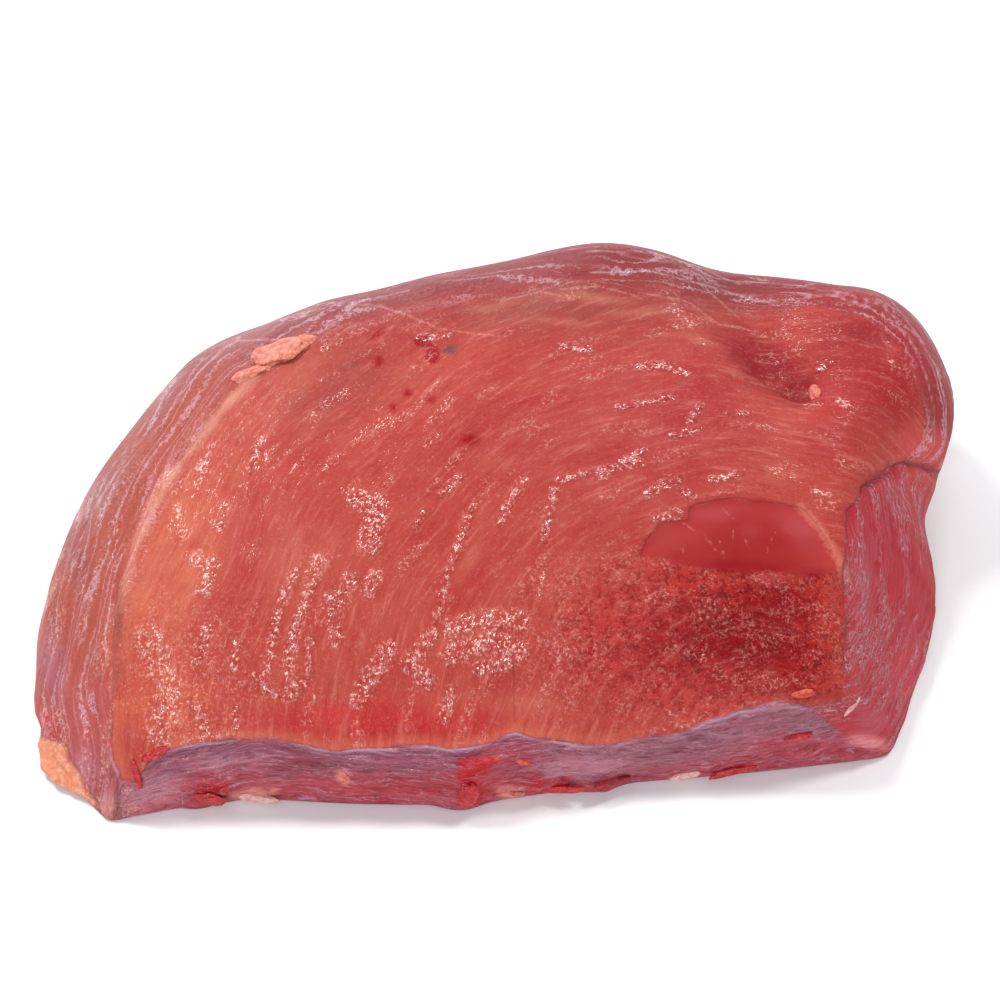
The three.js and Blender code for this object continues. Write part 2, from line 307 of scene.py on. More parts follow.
def readBlock(meat):
    # what the sculpting and the painting need to know of each point
    p = meshArray(meat.data, "co") / mm
    n = meshArray(meat.data, "normal")
    toEye = viewAxes()[0] - p
    facing = (n * toEye).sum(1) / np.linalg.norm(toEye, axis=1)
    turn = np.arctan2(p[:, 1], p[:, 0])
    radius = np.hypot(p[:, 0], p[:, 1])
    slots = 240
    slot = np.minimum(((turn + math.pi) / (2 * math.pi) * slots).astype(int), slots - 1)
    reach = np.zeros(slots)
    np.maximum.at(reach, slot, radius)
    tall = np.zeros(slots)
    outer = radius > 0.85 * reach[slot]
    np.maximum.at(tall, slot[outer], p[outer, 2])
    middles = (np.arange(-1, slots + 1) + 0.5) / slots * 2 * math.pi - math.pi
    outline = np.interp(turn, middles, np.concatenate([reach[-1:], reach, reach[:1]]))
    wall = np.interp(turn, middles, np.concatenate([tall[-1:], tall, tall[:1]]))
    height = p[:, 2] + outline - radius  # up the side and in over the top, from the foot
    spots = inPicture(p)
    x, y = spots.T
    seen = smooth(-0.05, 0.1, facing)
    share = np.clip(height / np.maximum(wall, 1), 0, 3)

    def edge(name, size, seed, amount):
        # mm inside an outline that the camera sees, its line made uneven
        d = depthInside(spots, outlines[name]) / perMm + lumps(p, size, seed) * amount
        return np.where(facing > -0.05, d, outside)

    # the upper face ends in a crisp edge at the front and the right, and fades into the skin elsewhere
    soft = 0.4 + 4.0 * smooth(*spans["fadeDown"], y) * smooth(*spans["fadeAcross"], x)
    block = {"p": p, "n": n, "spots": spots, "seen": seen, "share": share, "facing": facing}
    block["rim"] = edge("face", 5.0, 0.0, 0.4) / soft
    block["face"] = smooth(-1, 1, block["rim"])
    block["window"] = edge("window", 6.0, 4.4, 0.4)
    block["facet"] = edge("facet", 5.0, 6.6, 0.4)
    block["raw"] = np.maximum(edge("orange", 3.0, 5.5, 1.0), edge("rawEdge", 3.0, 5.5, 1.0))
    block["step"] = smooth(40, 4, fromLine(spots, step)) * seen
    block["grainy"] = np.clip(patch(spots, ellipses["grainy"]) * 2, 0, 1) * seen
    block["front"] = smooth(-0.3, -0.6, n[:, 1]) * (1 - block["face"]) * smooth(-104, -97, p[:, 0])
    block["front"] *= smooth(*spans["frontDown"], y)
    block["right"] = smooth(-3, 2, depthInside(spots, outlines["rightFlank"])) * seen
    block["front"] *= 1 - block["right"]
    block["free"] = smooth(0.2, 3.0, p[:, 2])  # the base stays flat
    block["flap"] = edge("flap", 4.0, 1.1, 0.6)
    across = np.linalg.norm(p - fibreCentre, axis=1) + lumps(p, 34.0, 3.1) * 2.5
    block["fibre"] = np.stack([p[:, 0], p[:, 1], across], 1)
    # the height that the skin's lines follow: down from the top at the back, in from the skin's
    # edge on the sides that the camera sees
    up = share * skinHeight
    rear = smooth(-30, 10, p[:, 1])
    up += (skinHeight - (wall + 10 - height) * 0.8 - up) * rear
    low = smooth(-0.1, -0.5, n[:, 1]) * smooth(*spans["lowAcross"], x) * smooth(*spans["lowDown"], y)
    beside = smooth(-0.35, 0.3, facing) * (1 - block["right"]) * (1 - low)
    up += (skinHeight - fromLine(spots, skinEdge) / perMm * 1.1 - up) * beside
    up += lumps(p, 18.0, 7.7) * 1.2
    skin = block["skin"] = np.stack([p[:, 0], p[:, 1], up], 1)
    long = lumps(skin, np.array([30, 30, 3.0]), 9.0) + lumps(skin, np.array([15, 15, 1.5]), 4.0) * 0.5
    short = lumps(skin, np.array([9, 9, 2.6]), 6.0) + lumps(p, 2.4, 1.6) * 0.5
    hidden = rear * smooth(0.4, -0.1, facing)
    block["folds"] = long + (short - long) * np.maximum(block["front"], block["right"]) * 0.6
    block["folds"] *= 1 - 0.5 * hidden
    strands = patch(spots, ellipses["manyStrands"]) - patch(spots, ellipses["fewStrands"])
    block["mottle"] = lumps(skin, np.array([14, 14, 4.0]), 2.8) - 0.25 * hidden + strands * seen * 0.9
    block["marks"] = {name: edge(name, 3.0, 1.9, 0.5) for name in marks}
    return block


# creases: line, half width in pixels, depth in mm
creases = {
    "lobe": ([(948, 482), (925, 468), (905, 463), (880, 474), (865, 487)], 9, 1.8),
    "valley": ([(690, 300), (730, 335), (760, 365), (785, 385), (803, 394)], 14, 0.6),
    "valleyFold": ([(700, 350), (740, 378), (775, 392), (803, 395)], 8, 0.6),
    "humpFold": ([(830, 362), (818, 375), (808, 388)], 7, 0.6),
    "backFold": ([(300, 345), (318, 330), (340, 312)], 8, 0.8),
    "shortCut": ([(514, 665), (516, 690), (514, 722)], 7, 0.3),
    "leafLeft": ([(575, 665), (562, 690), (566, 712)], 8, 0.3),
    "leafRight": ([(575, 665), (588, 690), (584, 712)], 8, 0.3),
    "facetFold": ([(690, 508), (699, 530), (712, 560)], 6, 0.3),
    "arc": ([(530, 635), (548, 652), (560, 672), (560, 700)], 8, 0.3),
    "underLine": ([(205, 678), (260, 693), (300, 701), (345, 706)], 8, 0.4),
    "flapEdge": ([(40, 700), (52, 735), (62, 745), (74, 770), (86, 794), (98, 812)], 5, 0.8),
    "hemFold": ([(690, 738), (770, 743), (850, 750), (890, 755)], 7, 0.7),
    "flankHigh": ([(903, 525), (922, 548), (938, 574)], 5, 0.6),
    "flankMid": ([(893, 545), (912, 568), (934, 602)], 5, 0.6),
    "flankLow": ([(898, 600), (916, 622), (930, 655)], 6, 0.4),
    "flankLeft": ([(868, 520), (880, 545), (872, 580), (880, 620)], 5, 0.4),
}


def sculpt(meat, block):
    p, spots, seen, fibre = (block[key] for key in ("p", "spots", "seen", "fibre"))
    face, cover = block["face"], 1 - block["face"]
    push = lumps(p, 20.0, 1.3) * 0.4
    push += face * lumps(fibre, np.array([14, 14, 3.6]), 2.0) * 0.16
    push += face * lumps(fibre, np.array([6, 6, 1.7]), 5.0) * 0.07
    push += cover * block["folds"] * (0.32 + 0.16 * block["front"])
    push += (block["front"] + block["right"]) * lumps(p, 8.0, 6.0) * 0.4
    # the sunken window at the right, deepest under its upper edge
    window = smooth(-0.8, 0.8, block["window"]) * seen
    facet = smooth(-0.5, 0.5, block["facet"]) * seen
    raw = smooth(-1, 1, block["raw"]) * seen
    push -= window * smooth(60, 0, fromLine(spots, step)) * 0.6
    push += (raw * 0.45 + block["grainy"] * (1 - facet) * 0.22) * lumps(p, 2.6, 8.0)
    push += block["grainy"] * (1 - facet) * lumps(p, 5.0, 2.7) * 0.3 + raw * 0.3
    hole = np.linalg.norm((spots - np.array(pit["middle"])) / np.array(pit["half"]), axis=1)
    push -= seen * smooth(1, 0, hole) * pit["deep"]
    push += smooth(-0.5, 1.0, block["flap"]) * seen * (0.5 + lumps(p, 4.0, 4.2) * 0.8)
    for name, inside in block["marks"].items():
        push += smooth(-0.5, 0.9, inside) * marks[name]["height"] * (1 + lumps(p, 3.0, 7.1) * 0.6)
    for line, width, deep in creases.values():
        push -= seen * smooth(width, 0, fromLine(spots, line)) * deep
    moved = p + block["n"] * (push * block["free"])[:, None]
    moved[:, 2] = np.maximum(moved[:, 2], 0)
    meat.data.vertices.foreach_set("co", (moved * mm).ravel())
    meat.data.update()


meat = copyBlock()
block = readBlock(meat)
sculpt(meat, block)
print("block sculpted,", len(meat.data.polygons), "faces")

colours = {
    "lean": shade(172, 65, 57),
    "leanRight": shade(168, 64, 62),
    "leanTop": shade(146, 66, 60),
    "leftSalmon": shade(188, 90, 70),
    "leftCorner": shade(190, 84, 64),
    "lowerStrip": shade(180, 48, 46),
    "hump": shade(158, 44, 48),
    "valley": shade(140, 36, 42),
    "lobe": shade(196, 76, 74),
    "rightFlank": shade(178, 46, 56),
    "rightFlankLow": shade(190, 62, 76),
    "frontTop": shade(154, 82, 100),
    "frontLow": shade(176, 68, 80),
    "leftFlank": shade(168, 80, 66),
    "leftFoot": shade(184, 86, 84),
    "back": shade(150, 62, 56),
    "rimMembrane": shade(132, 60, 64),
    "darkRaw": shade(124, 0, 10),
    "grainy": shade(170, 48, 46),
    "blood": shade(146, 4, 18),
    "bruise": shade(116, 60, 66),
    "fascia": shade(220, 156, 130),
    "bandRed": shade(182, 58, 66),
    "bandGrey": shade(158, 94, 106),
    "bandPink": shade(226, 130, 134),
    "bandLilac": shade(188, 118, 132),
    "tip": shade(214, 140, 132),
    "spot": shade(196, 30, 30),
    "flap": shade(224, 144, 112),
    "sliver": shade(196, 60, 66),
    "facetPale": shade(188, 92, 92),
    "marbling": shade(204, 128, 104),
    "leftRim": shade(158, 100, 100),
    "edgeGlow": shade(204, 104, 76),
    "markRed": shade(186, 26, 30),
    "markDark": shade(150, 14, 34),
    "markPale": shade(224, 140, 122),
}
# soft places of another colour: an ellipse, then how strong; first in the lean, then on the sides
tints = {
    "leanTop": [((520, 290, 360, 75, -4), 0.9), ((330, 375, 130, 75, 30), 0.5),
                ((600, 262, 150, 45, 0), 0.7)],
    # fat marbling near the top rim; the last three patches are paler places in the lean, a painted sheen
    "marbling": [((590, 298, 70, 9, -4), 0.3), ((640, 312, 50, 8, 4), 0.25), ((500, 304, 60, 9, 10), 0.2),
                 ((560, 322, 50, 7, -6), 0.2), ((700, 340, 40, 6, -20), 0.3),
                 ((470, 560, 40, 12, 60), 0.15), ((760, 470, 60, 26, -10), 0.16),
                 ((480, 705, 100, 22, 0), 0.16), ((300, 560, 70, 50, 60), 0.14)],
    "leanRight": [((640, 420, 240, 160, 10), 0.8)],
    "hump": [((875, 375, 95, 85, 0), 1.0), ((835, 440, 50, 36, 0), 0.5), ((700, 400, 80, 60, 0), 0.4),
             ((450, 440, 90, 60, 40), 0.25)],
    "leftSalmon": [((165, 560, 170, 75, 70), 1.0), ((240, 430, 110, 50, 55), 0.4),
                   ((300, 375, 70, 40, 30), 0.3)],
    "leftCorner": [((165, 700, 70, 75, 0), 0.9)],
    "lowerStrip": [((380, 722, 210, 38, 0), 0.75)],
    # painted shade: darker in the valley and its pit; the third patch darkens the lean behind the hump
    "valley": [((765, 362, 75, 40, -35), 0.9), ((800, 394, 30, 22, 0), 1.0),
               ((862, 332, 60, 26, -10), 0.6)],
    "lobe": [((925, 450, 45, 40, 0), 0.9)],
    "grainy": [((680, 645, 190, 115, 0), 1.0)],
    "darkRaw": [((755, 632, 95, 80, 0), 1.0), ((700, 640, 110, 70, 0), 0.5), ((745, 567, 75, 14, 0), 0.7),
                ((815, 575, 30, 12, 0), 0.7), ((790, 602, 50, 36, 0), 1.0), ((800, 660, 44, 50, 0), 0.8)],
    "blood": [((376, 334, 16, 9, 30), 0.8), ((378, 362, 9, 9, 0), 1.2), ((424, 343, 20, 8, -20), 1.4),
              ((433, 356, 10, 11, 40), 1.8), ((393, 408, 7, 7, 0), 1.1), ((408, 393, 7, 7, 0), 1.0),
              ((432, 400, 11, 7, 0), 0.7), ((470, 440, 14, 7, 0), 1.0), ((465, 441, 24, 14, 0), 0.3)],
    "bruise": [((450, 350, 14, 9, 10), 0.7)],
    "facetPale": [((672, 540, 30, 18, 10), 0.2), ((715, 514, 34, 14, 0), 0.8),
                  ((800, 528, 34, 26, -40), 0.9), ((750, 530, 20, 14, 0), 0.5)],
}
sideTints = {
    # painted sheen: paler grey lilac along the upper left silhouette
    "leftRim": [((105, 490, 80, 26, 58), 0.6), ((165, 395, 70, 20, 50), 0.55),
                ((250, 332, 90, 18, 28), 0.6)],
    "hump": [((905, 350, 75, 55, -40), 0.9), ((942, 410, 35, 50, 0), 0.4), ((830, 296, 100, 20, -4), 0.7)],
    "leftFoot": [((100, 740, 70, 110, 20), 0.9)],
    "leftSalmon": [((112, 650, 22, 110, 5), 0.5)],
    # painted highlight on the ridge at the front left corner
    "tip": [((114, 808, 30, 26, 0), 0.7)],
    "sliver": [((32, 668, 8, 30, 0), 0.9), ((48, 722, 14, 34, 28), 0.6)],
    "bandRed": [((430, 790, 230, 26, 0), 0.8), ((820, 750, 60, 14, 0), 0.6), ((515, 756, 50, 20, 0), 0.6)],
    "bandGrey": [((660, 745, 150, 36, 12), 1.0), ((790, 715, 60, 22, -25), 0.9)],
    "bandPink": [((868, 742, 32, 12, -10), 0.9), ((150, 800, 50, 20, 20), 0.4)],
    "bandLilac": [((580, 768, 70, 18, 5), 1.0), ((150, 790, 45, 24, 20), 0.9), ((225, 762, 70, 14, 0), 0.6),
                  ((52, 665, 22, 60, 10), 0.5), ((84, 768, 24, 30, 0), 0.5), ((864, 590, 20, 60, 0), 0.15),
                  ((868, 722, 26, 26, 0), 0.2), ((740, 742, 50, 20, 15), 0.2)],
    "rimMembrane": [((300, 768, 70, 16, 0), 0.5), ((76, 560, 22, 60, 20), 0.4),
                    ((770, 286, 140, 20, -5), 0.5)],
    "lobe": [((930, 455, 40, 40, 0), 1.0)],
    "spot": [((212, 786, 16, 9, 0), 0.8), ((478, 768, 22, 14, 20), 0.7), ((806, 737, 11, 6, 0), 0.7)],
}
# a strip of gristle along the left of the upper face
fasciaLine = [(345, 310), (300, 335), (260, 370), (215, 418), (182, 460), (155, 502), (138, 538),
              (127, 568), (121, 610)]
# pale hairlines in the lean, and threads of the skin that lie over its edge
hairlines = [
    [(742, 532), (750, 550)], [(775, 532), (767, 552)], [(720, 540), (725, 560)], [(682, 546), (686, 558)],
    [(722, 507), (736, 521), (732, 540)], [(682, 522), (705, 535), (717, 552)],
    [(530, 625), (540, 640), (560, 655), (572, 667), (584, 660)], [(572, 667), (555, 682), (552, 700)],
    [(512, 662), (540, 675)], [(466, 500), (452, 560), (422, 600), (410, 612)],
    [(444, 588), (443, 610), (436, 632)], [(552, 548), (532, 565), (520, 582)], [(350, 668), (361, 642)],
    [(396, 588), (380, 604)], [(523, 375), (490, 400)], [(433, 457), (417, 472)], [(515, 470), (500, 484)],
    [(470, 470), (440, 496)], [(640, 448), (612, 470)],
    [(298, 350), (306, 332), (322, 316), (345, 304)], [(235, 341), (270, 339), (302, 340)],
    [(352, 306), (380, 306), (410, 316), (436, 328), (470, 333), (505, 336)],
    [(590, 272), (650, 270), (700, 284), (740, 318)], [(640, 292), (690, 300), (720, 322), (760, 332)],
    [(700, 284), (760, 302), (800, 300), (850, 292)], [(860, 292), (900, 312), (925, 345)],
    [(560, 290), (600, 286), (640, 296)], [(500, 300), (540, 292), (560, 296)],
    [(232, 345), (262, 318), (300, 305), (345, 297), (400, 284)],
    [(290, 322), (330, 306), (372, 300), (410, 292)],
    [(256, 328), (290, 312), (340, 302), (380, 292)], [(165, 402), (200, 364), (240, 336)],
    [(172, 410), (196, 378), (222, 352)], [(96, 512), (128, 452), (160, 412)],
    [(84, 520), (112, 468), (148, 418)],
    [(70, 560), (88, 520), (104, 492)], [(470, 268), (520, 258), (560, 250), (600, 246)],
    [(560, 258), (600, 250), (650, 252), (700, 268), (740, 284)], [(620, 256), (668, 262), (712, 280)],
    [(740, 280), (790, 284), (840, 292), (880, 305), (915, 335)], [(780, 292), (830, 296), (866, 306)],
    [(912, 328), (935, 365), (946, 400), (946, 440)], [(926, 372), (934, 410), (930, 440)],
    [(895, 322), (918, 352), (928, 384)],
]
# fat along edges
fatLines = [
    [(800, 506), (822, 530), (838, 558), (846, 578)],
    [(150, 502), (140, 530), (132, 560), (128, 590)], [(172, 468), (160, 486), (150, 502)],
]
# painted shade: dark lines along the creases, which the relief also sinks a little
cuts = [
    [(514, 665), (516, 690), (514, 722)], [(575, 665), (562, 690), (566, 712)],
    [(575, 665), (588, 690), (584, 712)],
    [(905, 463), (925, 468), (945, 480)], [(895, 466), (880, 474), (865, 487)], [(790, 385), (803, 394)],
    [(690, 507), (705, 502)],
]


def nearest(spots, lines):
    return np.min([fromLine(spots, line) for line in lines], axis=0) / perMm


# where the wet surface breaks into beads of light, painted as pale glints and glossed by the coat: line,
# then half width in pixels
beads = [
    ([(297, 570), (287, 590), (277, 615), (270, 652), (262, 690)], 5),
    ([(318, 560), (305, 605), (295, 630), (288, 665), (292, 688)], 7),
    ([(255, 675), (270, 692), (292, 698), (307, 677), (310, 640)], 4),
    ([(206, 630), (196, 662), (203, 650)], 6),
    ([(195, 560), (212, 562), (203, 590)], 9),
    ([(237, 643), (232, 668)], 4),
    ([(170, 682), (172, 712)], 5),
    ([(195, 702), (207, 735)], 8),
    ([(235, 708), (236, 728)], 3),
    ([(360, 500), (378, 505), (370, 545)], 13),
    ([(338, 602), (350, 580)], 9),
    ([(375, 575), (368, 592)], 8),
    ([(330, 600), (336, 640)], 8),
    ([(388, 650), (372, 675), (358, 698)], 11),
    ([(432, 637), (408, 663), (428, 680)], 9),
    ([(450, 692), (444, 718)], 7),
    ([(475, 502), (455, 552), (440, 600), (435, 632)], 3),
    ([(525, 480), (510, 500), (500, 524)], 4),
    ([(555, 490), (547, 520), (544, 540)], 4),
    ([(460, 477), (440, 496)], 4),
    ([(422, 512), (415, 530)], 3),
    ([(545, 575), (540, 592)], 4),
    ([(450, 630), (480, 620), (520, 620)], 12),
    ([(450, 655), (490, 640), (520, 650)], 12),
    ([(480, 668), (510, 662)], 8),
    ([(600, 478), (620, 464), (642, 450)], 4),
    ([(648, 494), (664, 484), (678, 478)], 5),
    ([(657, 518), (678, 514)], 5),
    ([(712, 480), (740, 474)], 4),
    ([(682, 490), (692, 496)], 5),
    ([(560, 480), (600, 470), (640, 462)], 4),
    ([(640, 366), (665, 364), (684, 372)], 5),
    ([(727, 414), (748, 413)], 3),
    ([(672, 436), (697, 429)], 4),
    ([(617, 406), (645, 402), (672, 396)], 3),
    ([(805, 405), (821, 403)], 3),
    ([(818, 370), (828, 363)], 3),
    ([(815, 491), (828, 494)], 4),
    ([(560, 345), (590, 350)], 4),
    ([(420, 338), (450, 335)], 4),
    ([(250, 470), (262, 440)], 4),
    ([(690, 420), (700, 405)], 4),
    ([(840, 400), (850, 410)], 5),
    ([(150, 640), (170, 690), (160, 730)], 18),
]


def paint(meat, block):
    p, spots, seen, face, fibre = (block[key] for key in ("p", "spots", "seen", "face", "fibre"))
    x, y = spots.T
    facet = smooth(-0.5, 0.5, block["facet"])
    flap = smooth(-0.3, 0.5, block["flap"]) * seen
    tint = np.tile(colours["back"], (len(p), 1))

    def lay(name, amount):
        tint[:] += (colours[name] - tint) * np.clip(amount, 0, 1)[:, None]

    lay("leftFlank", smooth(-20, -70, p[:, 0]))
    lay("rimMembrane", smooth(12, 45, p[:, 1]) * smooth(26, 42, p[:, 2]) * 0.8)
    lay("frontLow", block["front"])
    # the upper part of the front is a lilac-grey film, with a painted bluish sheen
    lay("frontTop", block["front"] * smooth(0.35, 0.85, block["share"] + lumps(p, 8.0, 1.9) * 0.2))
    lay("rightFlank", block["right"])
    lay("rightFlankLow", block["right"] * patch(spots, ellipses["flankFoot"]) * 1.5)
    for name, places in sideTints.items():
        for place, amount in places:
            lay(name, patch(spots, place) * 1.4 * amount * seen)
    for name, inside in block["marks"].items():
        lay(marks[name]["colour"], smooth(-0.9, 0.6, inside) * (0.85 + 0.3 * lumps(p, 2.2, 3.7)))
    lay("flap", flap)
    # the lean: broad red and salmon clouds, then the places of its own colours
    lay("lean", face)
    uneven = 1.4 + 0.5 * lumps(p, 3.0, 4.6)
    for name, places in tints.items():
        for place, amount in places:
            lay(name, patch(spots, place) * uneven * amount * seen * face)
    clouds = lumps(fibre, np.array([26, 26, 11]), 12.0) + lumps(p, 6.5, 3.3) * 0.6
    calm = face * (1 - 0.6 * block["grainy"])
    tint *= 1 + np.outer(clouds * calm, (0.05, 0.24, 0.19))
    dapple = lumps(p, 3.2, 6.1) * block["grainy"] * face
    tint *= 1 + np.outer(dapple, (0.16, 0.3, 0.3))
    fascia = fromLine(spots, fasciaLine) + lumps(p, 7.0, 2.2) * 3
    middle = smooth(*spans["fasciaFoot"], y) * smooth(*spans["fasciaTop"], y)
    lay("fascia", smooth(7, 1, fascia) * seen * middle * 0.5)
    # painted glow: a lighter orange strip along the lower left edge of the upper face
    foot = smooth(*spans["glowDown"], y) * smooth(*spans["glowAcross"], x)
    lay("edgeGlow", smooth(10, 1, block["rim"]) * face * foot * 0.45)
    # where it is wet, for the coat's gloss and the painted glints: along the glint beads, strewn about, on
    # the torn lean, and on the left side
    wet = np.zeros(len(p))
    for line, width in beads:
        wet = np.maximum(wet, smooth(width * 1.2, width * 0.4, fromLine(spots, line)))
    strewn = smooth(0.35, 0.8, lumps(fibre, np.array([13, 13, 4]), 8.8)) * 0.3
    strewn *= 1 - patch(spots, ellipses["dry"])
    strewn = np.maximum(strewn, patch(spots, ellipses["damp"]) * 0.28 * seen)
    pulp = block["grainy"] * (1 - facet) * (0.22 + 0.4 * lumps(p, 5.0, 5.1))
    wet = np.clip(np.maximum(np.maximum(wet * seen, strewn), pulp), 0, 1)
    wet *= face * (1 - 0.8 * facet * seen)
    left = seen * (1 - face) * smooth(*spans["dampAcross"], x) * smooth(*spans["dampDown"], y)
    wet += left * smooth(0.0, 0.5, lumps(block["skin"], np.array([12, 12, 3]), 3.5)) * 0.5
    lines = np.stack([nearest(spots, group) for group in (hairlines, fatLines, cuts)], 1)
    lines[:, 0] /= np.clip(block["facing"] * 2.2, 0.15, 1)  # no wider where the surface turns away
    mesh = meat.data
    addAttribute(mesh, "tint", "FLOAT_COLOR", [tint[:, 0], tint[:, 1], tint[:, 2], np.ones(len(p))])
    addAttribute(mesh, "fibre", "FLOAT_VECTOR", fibre.T)
    addAttribute(mesh, "skin", "FLOAT_VECTOR", block["skin"].T)
    addAttribute(mesh, "edges", "FLOAT_VECTOR", [block["rim"], block["window"], block["facet"]])
    addAttribute(mesh, "rough", "FLOAT_VECTOR", [block["raw"], block["grainy"], block["step"]])
    addAttribute(mesh, "zones", "FLOAT_VECTOR", [wet, block["right"], block["front"]])
    addAttribute(mesh, "sides", "FLOAT_VECTOR", [block["folds"], block["mottle"], flap])
    addAttribute(mesh, "lines", "FLOAT_VECTOR", (lines + 9 * (1 - seen)[:, None]).T)


paint(meat, block)
print("block painted")


def addNode(tree, kind, inputs, **settings):
    made = tree.nodes.new(kind)
    for name, value in settings.items():
        setattr(made, name, value)
    for name, value in inputs.items():
        if isinstance(value, bpy.types.NodeSocket):
            tree.links.new(value, made.inputs[name])
        else:
            made.inputs[name].default_value = value
    return made


def readAttribute(tree, name, output):
    return addNode(tree, "ShaderNodeAttribute", {}, attribute_name=name).outputs[output]


def split(tree, vector):
    return addNode(tree, "ShaderNodeSeparateXYZ", {0: vector}).outputs


def calc(tree, how, a, b, c=0.0):
    return addNode(tree, "ShaderNodeMath", {0: a, 1: b, 2: c}, operation=how).outputs[0]


def times(tree, first, *others):
    for other in others:
        first = calc(tree, "MULTIPLY", first, other)
    return first


def ease(tree, value, low, high, to=1.0):
    inputs = {"Value": value, "From Min": low, "From Max": high, "To Min": 0.0, "To Max": to}
    return addNode(tree, "ShaderNodeMapRange", inputs, interpolation_type="SMOOTHSTEP").outputs["Result"]


def mixColour(tree, share, a, b):
    return addNode(tree, "ShaderNodeMix", {0: share, 6: a, 7: b}, data_type="RGBA").outputs[2]


def realPlace(tree):
    # the object's own coordinates in mm
    own = addNode(tree, "ShaderNodeTexCoord", {}).outputs["Object"]
    return addNode(tree, "ShaderNodeVectorMath", {0: own, "Scale": 1 / mm}, operation="SCALE").outputs[0]


def grain(tree, vector, size, detail, rough=0.55, twist=0.0):
    # noise from 0 to 1; size is that of its lumps in mm along x, y and z
    scale = [1 / s for s in size]
    scaled = addNode(tree, "ShaderNodeVectorMath", {0: vector, 1: scale}, operation="MULTIPLY").outputs[0]
    inputs = {"Vector": scaled, "Scale": 1.0, "Detail": detail, "Roughness": rough, "Distortion": twist}
    return addNode(tree, "ShaderNodeTexNoise", inputs).outputs[0]


def threads(tree, value, width):
    # thin lines where the noise passes its middle
    return ease(tree, calc(tree, "ABSOLUTE", calc(tree, "SUBTRACT", value, 0.5), 0.0), width, 0.0)


def bendNormal(tree, height):
    # the height is in mm
    return addNode(tree, "ShaderNodeBump", {"Strength": 1.0, "Distance": mm, "Height": height}).outputs[0]


def flat(red, green, blue):
    return (*shade(red, green, blue), 1)


def readMasks(tree):
    # where each look of the meat is, from what was painted on it; jitter makes the edges ragged
    m = SimpleNamespace()
    m.fibre = readAttribute(tree, "fibre", "Vector")
    m.skin = readAttribute(tree, "skin", "Vector")
    m.place = realPlace(tree)
    m.rim, windowEdge, facetEdge = split(tree, readAttribute(tree, "edges", "Vector"))
    rawEdge, m.grainy, m.step = split(tree, readAttribute(tree, "rough", "Vector"))
    m.wet, m.right, m.front = split(tree, readAttribute(tree, "zones", "Vector"))
    m.folds, m.mottle, m.flap = split(tree, readAttribute(tree, "sides", "Vector"))
    m.hairline, m.fatLine, m.cut = split(tree, readAttribute(tree, "lines", "Vector"))
    m.ragged = grain(tree, m.place, (1.3, 1.3, 1.3), 2, 0.65)
    m.jitter = calc(tree, "SUBTRACT", m.ragged, 0.5)
    m.face = ease(tree, calc(tree, "MULTIPLY_ADD", m.jitter, 1.6, m.rim), -0.8, 0.8)
    m.cover = calc(tree, "SUBTRACT", 1.0, calc(tree, "MAXIMUM", m.face, m.flap))
    m.window = ease(tree, calc(tree, "MULTIPLY_ADD", m.jitter, 0.6, windowEdge), -0.2, 0.2)
    fringe = times(tree, m.jitter, calc(tree, "MULTIPLY_ADD", m.step, -3.0, 4.2))
    m.facet = ease(tree, calc(tree, "ADD", fringe, facetEdge), -0.5, 0.5)
    m.bare = calc(tree, "SUBTRACT", 1.0, m.facet)
    raw = ease(tree, calc(tree, "MULTIPLY_ADD", m.jitter, 8.0, rawEdge), -2.0, 2.0)
    m.raw = times(tree, raw, m.bare)
    m.pulpy = times(tree, calc(tree, "MAXIMUM", m.raw, m.grainy), m.face, m.bare)
    m.plain = calc(tree, "SUBTRACT", m.face, calc(tree, "MAXIMUM", m.facet, m.raw))
    return m


# Each of these gives layers of colour, how much and of what, from the lowest to the highest.
def leanLayers(tree, m):
    # fibres, crumbs where it is torn, the smooth facet, painted shade in the creases, fat along edges, the
    # flap of fat
    m.streaks = grain(tree, m.fibre, (9, 9, 1.4), 2, 0.66)
    m.crumbs = grain(tree, m.place, (1.4, 1.4, 1.4), 2, 0.6)
    m.slit = ease(tree, m.cut, 0.6, 0.0)
    orange = mixColour(tree, ease(tree, m.crumbs, 0.3, 0.7), flat(118, 0, 6), flat(180, 28, 14))
    smoothRed = mixColour(tree, m.step, flat(146, 14, 24), flat(162, 42, 46))
    fat = ease(tree, calc(tree, "MULTIPLY_ADD", m.jitter, 3.0, m.fatLine), 1.9, 0.1)
    return [
        (times(tree, ease(tree, m.streaks, 0.52, 0.75, 0.22), m.plain), flat(222, 140, 124)),
        (times(tree, ease(tree, m.streaks, 0.48, 0.28, 0.28), m.plain), flat(146, 22, 28)),
        (times(tree, ease(tree, m.crumbs, 0.56, 0.3, 0.5), m.pulpy), flat(116, 0, 10)),
        (times(tree, ease(tree, m.ragged, 0.35, 0.6, 0.35), m.raw), orange),
        (times(tree, m.raw, 0.3), orange),
        (times(tree, m.facet, 0.66), smoothRed),
        (times(tree, m.slit, 0.3), flat(110, 8, 18)),
        (times(tree, fat, 0.45), flat(216, 126, 108)),
        (times(tree, ease(tree, m.crumbs, 0.5, 0.32, 0.45), m.flap), flat(206, 106, 76)),
        (times(tree, ease(tree, m.ragged, 0.5, 0.7, 0.5), m.flap), flat(246, 190, 154)),
    ]


